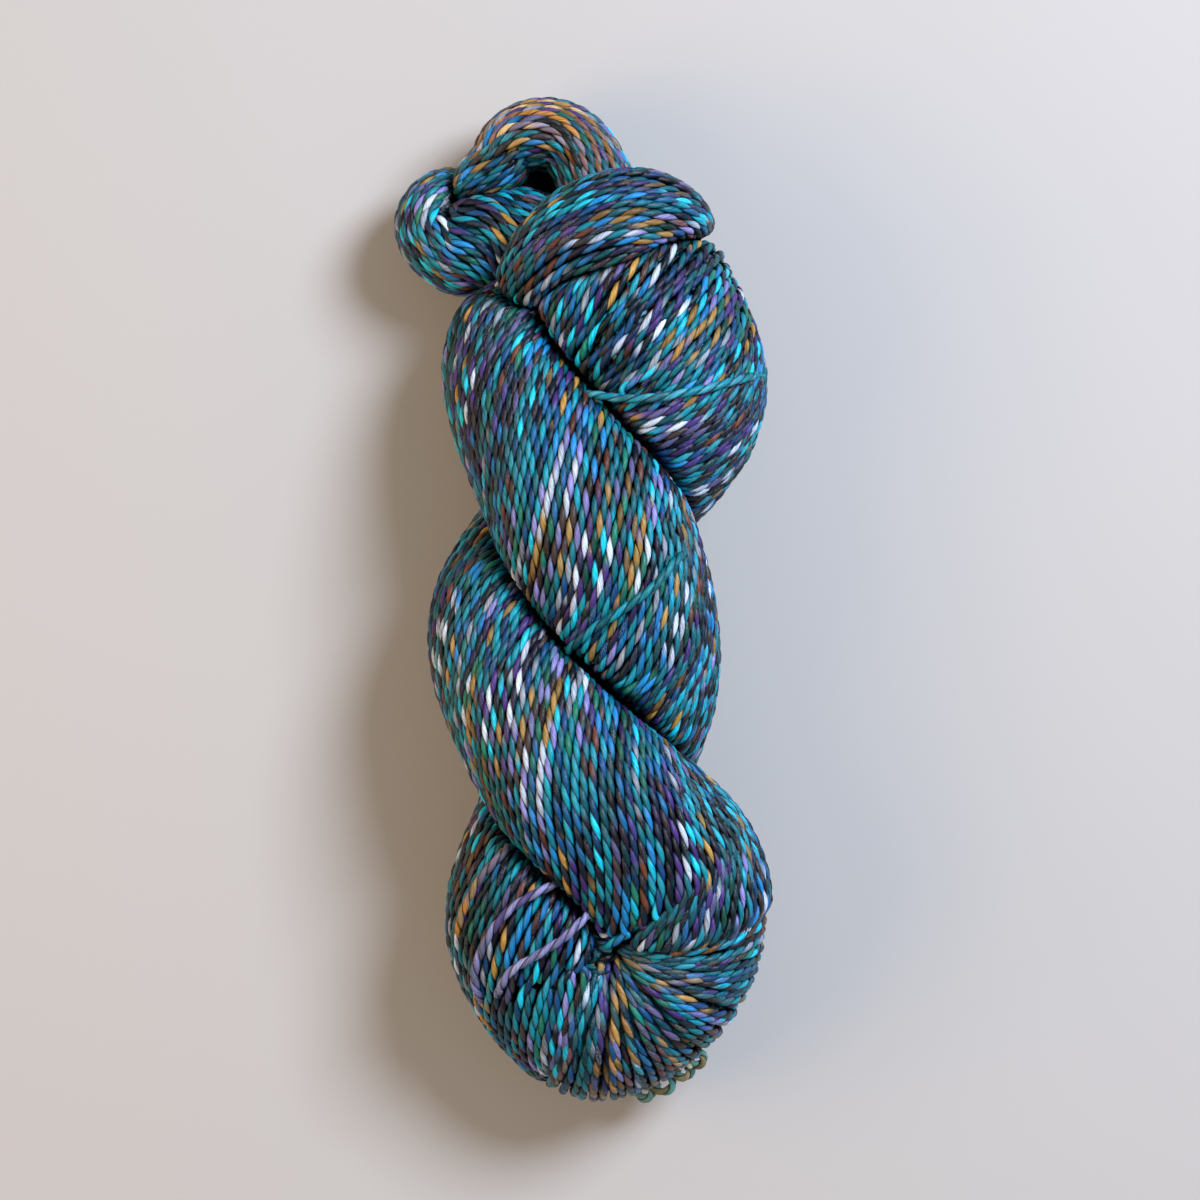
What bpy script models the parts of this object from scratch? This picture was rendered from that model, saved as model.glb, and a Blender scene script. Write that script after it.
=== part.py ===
"""A twisted hank of two-ply knitting yarn, lying flat: one solid of the wound form.

The reel's loop of yarn is twisted into a rope, folded in half so its two legs wrap
round each other, and one end eye is poked through the other to lock it. The solid
follows the legs, the fold, the two eyes and the hollow of the locking loop; the
single turns of yarn belong to the finished look. Metres, +Z up, resting on z = 0,
the hank's length along Y, the locked end towards +Y.
"""

import math

import bmesh
import bpy
import numpy as np

MM = 0.001
LEG_SIDES = 36  # a leg is the whole rope of about 300 strands of 2.3 mm yarn
RING_STEP = 5.0  # spacing of the rings along a leg
EYE_SIDES = 26
EYE_STEP = 4.0
SKIN_CELL = 4.3  # cell of the skin grown over the bundles
PRESS = 1.5  # how far the rounded underside is pressed flat where it rests

# Centre lines, in mm: along X, along Y, height of the centre, half-width, half-height.
# The first leg lies in front at the locked end and again below the middle.
FIRST_LEG = (
    # x, y, z, half_width, half_height
    (6.0, 87.0, 30.0, 25.0, 25.0),
    (13.5, 72.0, 38.0, 27.0, 26.0),
    (21.0, 51.0, 36.0, 26.5, 26.0),
    (9.0, 31.0, 26.0, 24.5, 24.0),
    (-2.5, 12.5, 23.0, 24.0, 23.0),
    (-13.0, -11.0, 33.0, 25.0, 25.0),
    (2.0, -47.0, 46.0, 24.5, 24.0),
    (20.5, -71.0, 37.0, 27.0, 26.0),
    (17.0, -91.0, 30.0, 26.0, 26.0),
    (12.0, -98.0, 28.0, 25.0, 25.0),
)
# The second leg starts behind the first, crosses over it in the middle of the hank
# and ends at the fold.
SECOND_LEG = (
    (-6.0, 78.0, 23.0, 22.0, 23.0),
    (-10.5, 57.0, 29.0, 24.0, 24.5),
    (3.0, 19.0, 46.0, 25.0, 24.0),
    (11.0, -16.0, 35.0, 25.0, 25.0),
    (2.0, -48.0, 23.0, 24.0, 23.0),
    (-7.5, -74.0, 33.0, 25.0, 24.5),
    (-5.0, -93.0, 30.0, 25.0, 25.0),
    (0.0, -100.0, 28.0, 24.5, 24.5),
)
# The fold at the far end, where one leg runs into the other.
FOLD = (
    (-6.0, -100.0, 25.0, 25.0, 24.5),
    (4.0, -102.0, 25.5, 25.0, 25.5),
    (15.0, -99.0, 26.0, 25.0, 25.0),
)
# The eye of the first leg: the band that closes round the neck of the other eye.
CLOSING_BAND = (
    (-14.5, 74.0, 28.0, 8.5, 9.0),
    (-12.0, 82.0, 44.0, 9.0, 9.0),
    (-5.0, 89.5, 55.0, 9.5, 9.0),
    (5.0, 94.5, 60.0, 10.0, 9.0),
    (15.0, 96.5, 57.0, 10.0, 9.0),
    (23.0, 93.0, 46.0, 10.5, 10.0),
    (24.0, 90.0, 28.0, 10.0, 10.0),
)
# The other eye comes out under that band, doubles back in a round lobe...
LOBE = (
    (0.0, 86.0, 22.0, 14.0, 17.0),
    (-18.0, 90.0, 20.0, 14.5, 17.0),
    (-35.0, 92.0, 16.5, 14.5, 16.0),
)
# ...and closes in a standing arch, with a small hollow between arch and lobe.
ARCH = (
    (-32.0, 95.0, 18.0, 8.0, 15.0),
    (-22.0, 105.0, 20.0, 7.5, 16.0),
    (-18.0, 113.0, 21.0, 8.0, 16.5),
    (-10.5, 118.3, 22.0, 8.2, 17.0),
    (-1.0, 114.5, 23.0, 8.0, 17.0),
    (4.5, 106.0, 24.0, 8.5, 17.0),
    (10.0, 92.0, 26.0, 9.0, 16.0),
)


def smooth_route(table, step):
    """Points of a Catmull-Rom curve through the rows of a route table, about `step` apart."""
    rows = np.array(table, float)
    rows = np.vstack([2 * rows[0] - rows[1], rows, 2 * rows[-1] - rows[-2]])
    fine = []
    for a, b, c, d in zip(rows, rows[1:], rows[2:], rows[3:]):
        for t in np.linspace(0.0, 1.0, 24, endpoint=False):
            fine.append(
                0.5
                * (
                    2 * b
                    + (c - a) * t
                    + (2 * a - 5 * b + 4 * c - d) * t**2
                    + (3 * b - a - 3 * c + d) * t**3
                )
            )
    fine.append(rows[-2])
    fine = np.array(fine)
    length = np.concatenate(
        [[0.0], np.cumsum(np.linalg.norm(np.diff(fine[:, :3], axis=0), axis=1))]
    )
    stops = np.linspace(0.0, length[-1], max(3, round(length[-1] / step) + 1))
    return np.column_stack([np.interp(stops, length, column) for column in fine.T])


def frames(points):
    """Heading, sideways and upward directions at each point; sideways stays level."""
    heading = np.gradient(points, axis=0)
    heading /= np.linalg.norm(heading, axis=1)[:, None]
    up = np.array([0.0, 0.0, 1.0])
    side = np.cross(heading, up)
    side /= np.linalg.norm(side, axis=1)[:, None]
    return heading, side, np.cross(side, heading)


def tube(shape, table, step, sides, dome=0.62, cap_rings=4):
    """Adds a closed round bar along a route table, with domed ends, to the mesh in `shape`."""
    route = smooth_route(table, step)
    centres, half_width, half_height = route[:, :3], route[:, 3], route[:, 4]
    centres[:, 2] -= PRESS
    heading, side, rise = frames(centres)
    end = len(centres) - 1
    curve = [0.5 * math.pi * k / (cap_rings + 0.35) for k in range(1, cap_rings + 1)]
    rings = [(0, -math.sin(a), math.cos(a)) for a in reversed(curve)]
    rings += [(i, 0.0, 1.0) for i in range(end + 1)]
    rings += [(end, math.sin(a), math.cos(a)) for a in curve]
    turn = 2 * math.pi * np.arange(sides) / sides
    reach = dome * np.minimum(half_width, half_height)
    loops = []
    for i, ahead, scale in rings:
        corners = (
            centres[i]
            + heading[i] * ahead * reach[i]
            + scale * half_width[i] * np.cos(turn)[:, None] * side[i]
            + scale * half_height[i] * np.sin(turn)[:, None] * rise[i]
        )
        loops.append([shape.verts.new(corner * MM) for corner in corners])
    for near, far in zip(loops, loops[1:]):
        for k in range(sides):
            m = (k + 1) % sides
            shape.faces.new((near[k], near[m], far[m], far[k]))
    for loop, i, ahead in ((loops[0], 0, -1.0), (loops[-1], end, 1.0)):
        pole = shape.verts.new((centres[i] + heading[i] * ahead * reach[i]) * MM)
        for k in range(sides):
            pair = (loop[k], loop[(k + 1) % sides])
            shape.faces.new((pole,) + (pair if ahead > 0 else pair[::-1]))


def block(name, low, high):
    """A plain box between two corners in mm, used only as a cutter."""
    corners = [
        (x * MM, y * MM, z * MM)
        for x in (low[0], high[0])
        for y in (low[1], high[1])
        for z in (low[2], high[2])
    ]
    sides = [(0, 1, 3, 2), (4, 6, 7, 5), (0, 4, 5, 1), (2, 3, 7, 6), (0, 2, 6, 4), (1, 5, 7, 3)]
    mesh = bpy.data.meshes.new(name)
    mesh.from_pydata(corners, [], sides)
    obj = bpy.data.objects.new(name, mesh)
    bpy.context.scene.collection.objects.link(obj)
    return obj


for old in list(bpy.data.objects):
    bpy.data.objects.remove(old, do_unlink=True)

# The bundles lie packed into one another, so they are laid down overlapping and grown
# into one skin, then pressed flat where they rest.
bundles = bmesh.new()
tube(bundles, FIRST_LEG, RING_STEP, LEG_SIDES)
tube(bundles, SECOND_LEG, RING_STEP, LEG_SIDES)
tube(bundles, FOLD, EYE_STEP, LEG_SIDES)
tube(bundles, CLOSING_BAND, EYE_STEP, EYE_SIDES)
tube(bundles, LOBE, EYE_STEP, EYE_SIDES, dome=0.85)
tube(bundles, ARCH, EYE_STEP, EYE_SIDES)
bmesh.ops.recalc_face_normals(bundles, faces=bundles.faces)
mesh = bpy.data.meshes.new("yarn_hank")
bundles.to_mesh(mesh)
bundles.free()
hank = bpy.data.objects.new("yarn_hank", mesh)
bpy.context.scene.collection.objects.link(hank)

skin = hank.modifiers.new("skin", "REMESH")
skin.mode = "VOXEL"
skin.voxel_size = SKIN_CELL * MM
skin.use_smooth_shade = True

rest = block("rest_cut", (-120.0, -200.0, -60.0), (120.0, 200.0, 0.0))
rest.hide_render = True
rest.display_type = "WIRE"
flat = hank.modifiers.new("flat", "BOOLEAN")
flat.operation = "DIFFERENCE"
flat.solver = "EXACT"
flat.object = rest

yarn = bpy.data.materials.new("marled_yarn")
yarn.use_nodes = True
surface = yarn.node_tree.nodes["Principled BSDF"]
surface.inputs["Base Color"].default_value = (0.035, 0.20, 0.24, 1.0)
surface.inputs["Roughness"].default_value = 0.6
hank.data.materials.append(yarn)
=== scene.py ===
import math

import bpy
import numpy as np
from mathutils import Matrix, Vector
from mathutils.bvhtree import BVHTree


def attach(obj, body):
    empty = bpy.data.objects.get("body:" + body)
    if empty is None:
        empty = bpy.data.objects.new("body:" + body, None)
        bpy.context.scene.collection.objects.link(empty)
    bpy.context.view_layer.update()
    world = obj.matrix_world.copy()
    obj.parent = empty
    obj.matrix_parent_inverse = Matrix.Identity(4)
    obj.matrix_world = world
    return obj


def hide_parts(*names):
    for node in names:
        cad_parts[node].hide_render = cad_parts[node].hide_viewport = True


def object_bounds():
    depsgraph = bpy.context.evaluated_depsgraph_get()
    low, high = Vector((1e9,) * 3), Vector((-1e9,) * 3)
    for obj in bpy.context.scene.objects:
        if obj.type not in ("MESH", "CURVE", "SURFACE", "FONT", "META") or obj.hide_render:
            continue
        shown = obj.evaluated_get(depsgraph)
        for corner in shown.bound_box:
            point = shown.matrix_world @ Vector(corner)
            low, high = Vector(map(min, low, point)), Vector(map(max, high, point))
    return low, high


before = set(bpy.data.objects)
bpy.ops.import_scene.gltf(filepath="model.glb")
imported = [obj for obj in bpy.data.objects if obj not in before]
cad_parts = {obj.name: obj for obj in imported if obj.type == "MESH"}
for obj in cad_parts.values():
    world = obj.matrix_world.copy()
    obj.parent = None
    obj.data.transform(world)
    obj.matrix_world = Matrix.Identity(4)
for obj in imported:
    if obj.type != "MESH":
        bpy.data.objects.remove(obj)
cad_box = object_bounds()

# ---------------------------------------------------------------------------
# The two-ply yarn itself: two softly spun plies turned about each other, each pressed
# to a D where they touch. Every strand below is this yarn, run along a line of points
# by one node tree.
# ---------------------------------------------------------------------------
MM = 0.001
YARN_WIDTH = 2.3  # both plies side by side
PITCH = 2.12  # from one strand to the next: their soft edges press together


def add(tree, kind, settings=None, inputs=None):
    """Adds a node, sets its properties, and sets or links its inputs."""
    node = tree.nodes.new(kind)
    for key, value in (settings or {}).items():
        setattr(node, key, value)
    for key, value in (inputs or {}).items():
        if isinstance(value, bpy.types.NodeSocket):
            tree.links.new(value, node.inputs[key])
        else:
            node.inputs[key].default_value = value
    return node


yarn_tree = bpy.data.node_groups.new("two_ply_yarn", "GeometryNodeTree")
YARN_SHAPE = {
    "Half width": 1.17 * MM,
    "Half height": 1.0 * MM,
    "Groove depth": 0.36 * MM,
    "Twist length": 8.6 * MM,
    "Row length": 0.2,
    "Rows": 30.0,
}
yarn_tree.interface.new_socket("Lines", in_out="INPUT", socket_type="NodeSocketGeometry")
for label, value in YARN_SHAPE.items():
    socket = yarn_tree.interface.new_socket(label, in_out="INPUT", socket_type="NodeSocketFloat")
    socket.default_value = value
yarn_tree.interface.new_socket("Sides", in_out="INPUT", socket_type="NodeSocketInt")
yarn_tree.interface.new_socket("Finish", in_out="INPUT", socket_type="NodeSocketMaterial")
yarn_tree.interface.new_socket("Yarn", in_out="OUTPUT", socket_type="NodeSocketGeometry")
given = add(yarn_tree, "NodeGroupInput").outputs

# The outline: an oval whose points gather towards the groove between the plies, at a
# quarter and three quarters of the way round, and are drawn in there.
ring = add(
    yarn_tree,
    "GeometryNodeCurvePrimitiveCircle",
    {"mode": "RADIUS"},
    {"Resolution": given["Sides"], "Radius": 1.0},
)
around = add(yarn_tree, "GeometryNodeSplineParameter").outputs["Factor"]
even = add(yarn_tree, "ShaderNodeMath", {"operation": "MULTIPLY"}, {0: around, 1: 2 * math.pi}).outputs[0]
double = add(yarn_tree, "ShaderNodeMath", {"operation": "MULTIPLY"}, {0: around, 1: 4 * math.pi}).outputs[0]
gather = add(yarn_tree, "ShaderNodeMath", {"operation": "SINE"}, {0: double}).outputs[0]
turn = add(yarn_tree, "ShaderNodeMath", {"operation": "MULTIPLY_ADD"}, {0: gather, 1: 0.2, 2: even}).outputs[0]
cosine = add(yarn_tree, "ShaderNodeMath", {"operation": "COSINE"}, {0: turn}).outputs[0]
sine = add(yarn_tree, "ShaderNodeMath", {"operation": "SINE"}, {0: turn}).outputs[0]
steep = add(yarn_tree, "ShaderNodeMath", {"operation": "ABSOLUTE"}, {0: sine}).outputs[0]
peak = add(yarn_tree, "ShaderNodeMath", {"operation": "POWER"}, {0: steep, 1: 22.0}).outputs[0]
nick = add(yarn_tree, "ShaderNodeMath", {"operation": "MULTIPLY"}, {0: peak, 1: given["Groove depth"]}).outputs[0]
height = add(yarn_tree, "ShaderNodeMath", {"operation": "SUBTRACT"}, {0: given["Half height"], 1: nick}).outputs[0]
spot_x = add(yarn_tree, "ShaderNodeMath", {"operation": "MULTIPLY"}, {0: given["Half width"], 1: cosine})
spot_y = add(yarn_tree, "ShaderNodeMath", {"operation": "MULTIPLY"}, {0: height, 1: sine})
spot = add(yarn_tree, "ShaderNodeCombineXYZ", None, {0: spot_x.outputs[0], 1: spot_y.outputs[0]})
outline = add(
    yarn_tree,
    "GeometryNodeSetPosition",
    None,
    {"Geometry": ring.outputs["Curve"], "Position": spot.outputs[0]},
)
marked = add(
    yarn_tree,
    "GeometryNodeStoreNamedAttribute",
    {"data_type": "FLOAT", "domain": "POINT"},
    {"Geometry": outline.outputs[0], "Name": "around", "Value": around},
)

# The strand, turned about its own line as it runs on.
run = add(yarn_tree, "GeometryNodeInputNamedAttribute", {"data_type": "FLOAT"}, {"Name": "run"}).outputs[0]
phase = add(yarn_tree, "GeometryNodeInputNamedAttribute", {"data_type": "FLOAT"}, {"Name": "phase"}).outputs[0]
turns = add(yarn_tree, "ShaderNodeMath", {"operation": "DIVIDE"}, {0: run, 1: given["Twist length"]}).outputs[0]
turns = add(yarn_tree, "ShaderNodeMath", {"operation": "SUBTRACT"}, {0: phase, 1: turns}).outputs[0]
tilt = add(yarn_tree, "ShaderNodeMath", {"operation": "MULTIPLY"}, {0: turns, 1: 2 * math.pi}).outputs[0]
strand = add(yarn_tree, "GeometryNodeMeshToCurve", None, {"Mesh": given["Lines"]})
turned = add(yarn_tree, "GeometryNodeSetCurveTilt", None, {"Curve": strand.outputs[0], "Tilt": tilt})
swept = add(
    yarn_tree,
    "GeometryNodeCurveToMesh",
    None,
    {"Curve": turned.outputs[0], "Profile Curve": marked.outputs[0], "Fill Caps": True},
)

# Where each corner lies round the plies, and how far along the strand.
around = add(yarn_tree, "GeometryNodeInputNamedAttribute", {"data_type": "FLOAT"}, {"Name": "around"}).outputs[0]
middle = add(yarn_tree, "GeometryNodeFieldOnDomain", {"data_type": "FLOAT", "domain": "FACE"}, {0: around}).outputs[0]
at_start = add(yarn_tree, "ShaderNodeMath", {"operation": "LESS_THAN"}, {0: around, 1: 0.04}).outputs[0]
last_face = add(yarn_tree, "ShaderNodeMath", {"operation": "GREATER_THAN"}, {0: middle, 1: 0.4}).outputs[0]
wrap = add(yarn_tree, "ShaderNodeMath", {"operation": "MULTIPLY"}, {0: at_start, 1: last_face}).outputs[0]
across = add(yarn_tree, "ShaderNodeMath", {"operation": "ADD"}, {0: around, 1: wrap}).outputs[0]
corner = add(yarn_tree, "ShaderNodeCombineXYZ", None, {0: across, 1: run}).outputs[0]
mapped = add(
    yarn_tree,
    "GeometryNodeStoreNamedAttribute",
    {"data_type": "FLOAT2", "domain": "CORNER"},
    {"Geometry": swept.outputs[0], "Name": "UVMap", "Value": corner},
)

# A second map lays all the piece's yarn out in rows, one below the other.
laid = add(yarn_tree, "GeometryNodeInputNamedAttribute", {"data_type": "FLOAT"}, {"Name": "laid_out"}).outputs[0]
per_face = {"data_type": "FLOAT", "domain": "FACE"}
face_laid = add(yarn_tree, "GeometryNodeFieldOnDomain", per_face, {0: laid}).outputs[0]
rows_down = add(yarn_tree, "ShaderNodeMath", {"operation": "DIVIDE"}, {0: face_laid, 1: given["Row length"]})
row = add(yarn_tree, "ShaderNodeMath", {"operation": "FLOOR"}, {0: rows_down.outputs[0]}).outputs[0]
spot_in_row = add(yarn_tree, "ShaderNodeMath", {"operation": "DIVIDE"}, {0: laid, 1: given["Row length"]}).outputs[0]
spot_in_row = add(yarn_tree, "ShaderNodeMath", {"operation": "SUBTRACT"}, {0: spot_in_row, 1: row}).outputs[0]
inside_edge = {0: spot_in_row, 1: 0.98, 2: 0.01}
spot_in_row = add(yarn_tree, "ShaderNodeMath", {"operation": "MULTIPLY_ADD"}, inside_edge).outputs[0]
inset = add(yarn_tree, "ShaderNodeMath", {"operation": "MULTIPLY_ADD"}, {0: across, 1: 0.9, 2: 0.05}).outputs[0]
down = add(yarn_tree, "ShaderNodeMath", {"operation": "ADD"}, {0: row, 1: inset}).outputs[0]
down = add(yarn_tree, "ShaderNodeMath", {"operation": "DIVIDE"}, {0: down, 1: given["Rows"]}).outputs[0]
cell = add(yarn_tree, "ShaderNodeCombineXYZ", None, {0: spot_in_row, 1: down}).outputs[0]
unrolled = add(
    yarn_tree,
    "GeometryNodeStoreNamedAttribute",
    {"data_type": "FLOAT2", "domain": "CORNER"},
    {"Geometry": mapped.outputs[0], "Name": "OFBake", "Value": cell},
)
smooth = add(yarn_tree, "GeometryNodeSetShadeSmooth", None, {"Geometry": unrolled.outputs[0], "Shade Smooth": True})
real = add(yarn_tree, "GeometryNodeRealizeInstances", None, {"Geometry": smooth.outputs[0]})
done = add(yarn_tree, "GeometryNodeSetMaterial", None, {"Geometry": real.outputs[0], "Material": given["Finish"]})
add(yarn_tree, "NodeGroupOutput", None, {0: done.outputs[0]})


BELOW = {"Half width": 1.25 * MM, "Groove depth": 0.2 * MM}  # yarn half hidden under other yarn
ROUND_YARN = 0.0066  # metres round the yarn: the rows of the second map then fill a square


def distance_run(points):
    """Distance along a line of points, starting at 0."""
    return np.concatenate([[0.0], np.cumsum(np.linalg.norm(np.diff(points, axis=0), axis=1))])


def spin(name, runs, material, sides=12, **shape):
    """Yarn along lines of points, as one piece of the hank.

    A run is (points, number). Its columns are x, y, z in mm, the direction out of the
    bundle, and how far it is sunk in a seam."""
    sizes = [len(points) for points, _ in runs]
    first = np.cumsum([0] + sizes[:-1])
    edges = [np.column_stack([np.arange(a, a + n - 1), np.arange(a + 1, a + n)]) for a, n in zip(first, sizes)]
    lengths = [distance_run(points[:, :3]) * MM for points, _ in runs]
    offsets = np.cumsum([0.0] + [length[-1] for length in lengths[:-1]])
    number = np.concatenate([np.full(n, k, float) for n, (_, k) in zip(sizes, runs)])
    fields = {
        "run": np.concatenate(lengths),
        "laid_out": np.concatenate([length + offset for length, offset in zip(lengths, offsets)]),
        "strand": number,
        # A scattered but fixed first turn for each strand.
        "phase": np.modf(np.sin(number * 12.9898) * 43758.5453)[0],
        "sunk": np.concatenate([points[:, 6] for points, _ in runs]),
    }
    mesh = bpy.data.meshes.new(name + "_lines")
    mesh.vertices.add(sum(sizes))
    places = np.concatenate([points[:, :3] for points, _ in runs]) * MM
    mesh.vertices.foreach_set("co", places.astype(np.float32).ravel())
    edges = np.concatenate(edges)
    mesh.edges.add(len(edges))
    mesh.edges.foreach_set("vertices", edges.astype(np.int32).ravel())
    for label, values in fields.items():
        mesh.attributes.new(label, "FLOAT", "POINT").data.foreach_set("value", values.astype(np.float32))
    outward = np.concatenate([points[:, 3:6] for points, _ in runs])
    field = mesh.attributes.new("outward", "FLOAT_VECTOR", "POINT")
    field.data.foreach_set("vector", outward.astype(np.float32).ravel())
    mesh.update()
    lines = bpy.data.objects.new(name + "_lines", mesh)
    bpy.context.scene.collection.objects.link(lines)

    total = fields["laid_out"][-1]
    rows = max(4.0, float(round(math.sqrt(total / ROUND_YARN))))
    values = {**YARN_SHAPE, "Rows": rows + 1, "Row length": total / rows, **shape}
    values |= {"Sides": sides, "Finish": material}
    modifier = lines.modifiers.new("yarn", "NODES")
    modifier.node_group = yarn_tree
    for item in yarn_tree.interface.items_tree:
        if item.item_type == "SOCKET" and item.in_out == "INPUT" and item.name in values:
            modifier[item.identifier] = values[item.name]
    graph = bpy.context.evaluated_depsgraph_get()
    spun = bpy.data.meshes.new_from_object(lines.evaluated_get(graph), depsgraph=graph)
    spun.name = name
    piece = bpy.data.objects.new(name, spun)
    bpy.context.scene.collection.objects.link(piece)
    bpy.data.objects.remove(lines, do_unlink=True)
    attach(piece, "root")
    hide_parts("yarn_hank")
    triangles = sum(len(f.vertices) - 2 for f in spun.polygons)
    print(name, triangles, "triangles,", round(total, 2), "m")
    return piece


def linear(hex_colour):
    """An sRGB hex colour as linear red, green, blue and alpha."""
    parts = [int(hex_colour[i : i + 2], 16) / 255 for i in (1, 3, 5)]
    parts = [c / 12.92 if c <= 0.04045 else ((c + 0.055) / 1.055) ** 2.4 for c in parts]
    return (*parts, 1.0)


GOLDEN = 0.6180339887  # golden section: steps of it never bunch up
MARLED = (
    # share of the yarn's length, colour: teals and blues, near-blacks, violets, silver, browns, green
    (0.13, "#04606c"),
    (0.13, "#0590a4"),
    (0.08, "#0cbfdb"),
    (0.06, "#06487e"),
    (0.06, "#1a86ca"),
    (0.09, "#04161f"),
    (0.09, "#131228"),
    (0.06, "#442e76"),
    (0.05, "#8481c2"),
    (0.05, "#c4d2e6"),
    (0.07, "#b38a42"),
    (0.05, "#6e3b2a"),
    (0.04, "#3c302f"),
    (0.04, "#187a62"),
)


def marled_yarn(name, dyes, hold=0.017):
    """Marled yarn: each ply keeps a dye for about `hold` metres, then slips into the next.

    Silky, with a low soft highlight, streaked along the fibres, with shade painted dark between the plies."""
    material = bpy.data.materials.new(name)
    material.use_nodes = True
    tree = material.node_tree
    surface = tree.nodes["Principled BSDF"]
    where = add(tree, "ShaderNodeUVMap", {"uv_map": "UVMap"})
    split = add(tree, "ShaderNodeSeparateXYZ", None, {0: where.outputs[0]})
    around, run = split.outputs[0], split.outputs[1]
    number = add(tree, "ShaderNodeAttribute", {"attribute_name": "strand"}).outputs["Fac"]

    # The first and last quarter of the way round is one ply, the rest the other.
    past = add(tree, "ShaderNodeMath", {"operation": "GREATER_THAN"}, {0: around, 1: 0.25}).outputs[0]
    short = add(tree, "ShaderNodeMath", {"operation": "LESS_THAN"}, {0: around, 1: 0.75}).outputs[0]
    ply = add(tree, "ShaderNodeMath", {"operation": "MULTIPLY"}, {0: past, 1: short}).outputs[0]
    line = add(tree, "ShaderNodeMath", {"operation": "MULTIPLY_ADD"}, {0: number, 1: 2.0, 2: ply}).outputs[0]
    shift = add(tree, "ShaderNodeMath", {"operation": "MULTIPLY"}, {0: line, 1: 0.618034}).outputs[0]
    along = add(tree, "ShaderNodeMath", {"operation": "DIVIDE"}, {0: run, 1: hold}).outputs[0]
    along = add(tree, "ShaderNodeMath", {"operation": "ADD"}, {0: along, 1: shift}).outputs[0]
    this = add(tree, "ShaderNodeMath", {"operation": "FLOOR"}, {0: along}).outputs[0]
    after = add(tree, "ShaderNodeMath", {"operation": "ADD"}, {0: this, 1: 1.0}).outputs[0]
    part = add(tree, "ShaderNodeMath", {"operation": "SUBTRACT"}, {0: along, 1: this}).outputs[0]
    change = add(
        tree,
        "ShaderNodeMapRange",
        {"interpolation_type": "SMOOTHSTEP"},
        {"Value": part, "From Min": 0.72, "From Max": 1.0},
    ).outputs[0]
    colours = []
    for cell in (this, after):
        spot = add(tree, "ShaderNodeCombineXYZ", None, {0: cell, 1: line}).outputs[0]
        pick = add(tree, "ShaderNodeTexWhiteNoise", {"noise_dimensions": "2D"}, {"Vector": spot})
        ramp = add(tree, "ShaderNodeValToRGB", None, {0: pick.outputs["Value"]})
        ramp.color_ramp.interpolation = "CONSTANT"
        strength = add(tree, "ShaderNodeSeparateColor", None, {0: pick.outputs["Color"]}).outputs[1]
        depth = {"Value": strength, "To Min": 0.3, "To Max": 1.5}
        strength = add(tree, "ShaderNodeMapRange", None, depth).outputs[0]
        stops, start = ramp.color_ramp.elements, 0.0
        stops.remove(stops[1])
        for k, (share, colour) in enumerate(dyes):
            stop = stops[0] if k == 0 else stops.new(start)
            stop.color = linear(colour)
            start += share
        taken = add(
            tree,
            "ShaderNodeMix",
            {"data_type": "RGBA", "blend_type": "MULTIPLY"},
            {"Factor": 1.0, 6: ramp.outputs[0], 7: strength},
        )
        colours.append(taken.outputs[2])
    both = {"Factor": change, 6: colours[0], 7: colours[1]}
    dye = add(tree, "ShaderNodeMix", {"data_type": "RGBA"}, both).outputs[2]

    # Fibres running along the ply take the dye unevenly. Real ones are too fine to show,
    # so these streaks are about 0.2 mm wide and 4 mm long.
    streak_spot = add(
        tree,
        "ShaderNodeCombineXYZ",
        None,
        {
            0: add(tree, "ShaderNodeMath", {"operation": "MULTIPLY"}, {0: around, 1: 34.0}).outputs[0],
            1: add(tree, "ShaderNodeMath", {"operation": "MULTIPLY"}, {0: run, 1: 260.0}).outputs[0],
            2: line,
        },
    ).outputs[0]
    streak = add(tree, "ShaderNodeTexNoise", None, {"Vector": streak_spot, "Scale": 1.0, "Detail": 3.0}).outputs[0]
    tone = add(
        tree,
        "ShaderNodeMapRange",
        None,
        {"Value": streak, "From Min": 0.3, "From Max": 0.7, "To Min": 0.3, "To Max": 1.5},
    ).outputs[0]

    # Painted shade: little light gets down between the plies, or between one strand and the next, so the colour is
    # darkened there and on each strand's flanks.
    outward = add(tree, "ShaderNodeAttribute", {"attribute_name": "outward"}).outputs["Vector"]
    normal = add(tree, "ShaderNodeNewGeometry").outputs["True Normal"]
    facing = add(tree, "ShaderNodeVectorMath", {"operation": "DOT_PRODUCT"}, {0: outward, 1: normal}).outputs["Value"]
    painted_flank_shade = add(
        tree,
        "ShaderNodeMapRange",
        {"interpolation_type": "SMOOTHSTEP"},
        {"Value": facing, "From Min": -0.2, "From Max": 0.8, "To Min": 0.05, "To Max": 1.0},
    ).outputs[0]
    wave = add(tree, "ShaderNodeMath", {"operation": "MULTIPLY"}, {0: around, 1: 2 * math.pi}).outputs[0]
    wave = add(tree, "ShaderNodeMath", {"operation": "COSINE"}, {0: wave}).outputs[0]
    plump = add(tree, "ShaderNodeMath", {"operation": "ABSOLUTE"}, {0: wave}).outputs[0]
    painted_groove_shade = add(
        tree,
        "ShaderNodeMapRange",
        {"interpolation_type": "SMOOTHSTEP"},
        {"Value": plump, "From Min": 0.0, "From Max": 0.5, "To Min": 0.15, "To Max": 1.0},
    ).outputs[0]
    shade = add(tree, "ShaderNodeMath", {"operation": "MULTIPLY"}, {0: painted_flank_shade, 1: painted_groove_shade}).outputs[0]
    shade = add(tree, "ShaderNodeMath", {"operation": "MULTIPLY"}, {0: shade, 1: tone}).outputs[0]
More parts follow.
